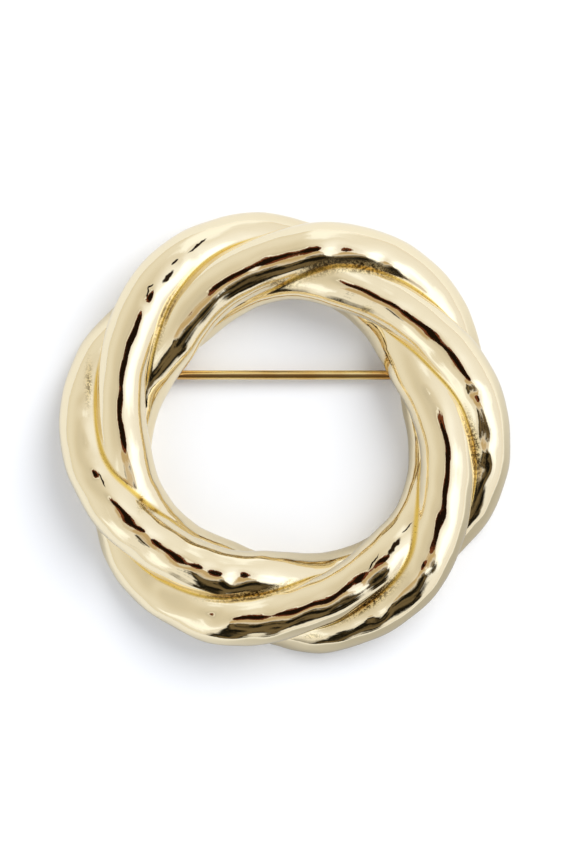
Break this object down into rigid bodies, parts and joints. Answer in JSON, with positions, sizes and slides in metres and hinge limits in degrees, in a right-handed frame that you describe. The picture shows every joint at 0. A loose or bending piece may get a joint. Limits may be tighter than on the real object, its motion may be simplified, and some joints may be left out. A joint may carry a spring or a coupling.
{
  "type": "circle pin brooch",
  "caption": "Round gold-tone brooch: a cast ring of overlapping twisted strands, hollow at the back, with a straight hinged pin across its hole.",
  "frame": {"origin": "centre of the ring on the plane that its back rims rest on", "axes": "+Z is the front of the brooch, away from the cloth; +Y is up as worn; the pin runs along X with its hinge on the -X side"},
  "size_m": [0.0478, 0.047, 0.0084],
  "materials": {
    "gold_casting": "polished champagne gold plating on a casting",
    "gold_rivet": "polished gold plating",
    "gold_wire": "polished gold plating on drawn wire"
  },
  "bodies": {
    "brooch": {"twisted_ring": "gold_casting", "hinge_rivet": "gold_rivet"},
    "pin": {"pin_stem": "gold_wire"}
  },
  "joints": [
    {"name": "pin_hinge", "type": "hinge", "parent": "brooch", "child": "pin", "pos_m": [-0.01713, 0.00615, 0.0013], "axis": [0, 1, 0], "range_deg": [0, 100]}
  ]
}
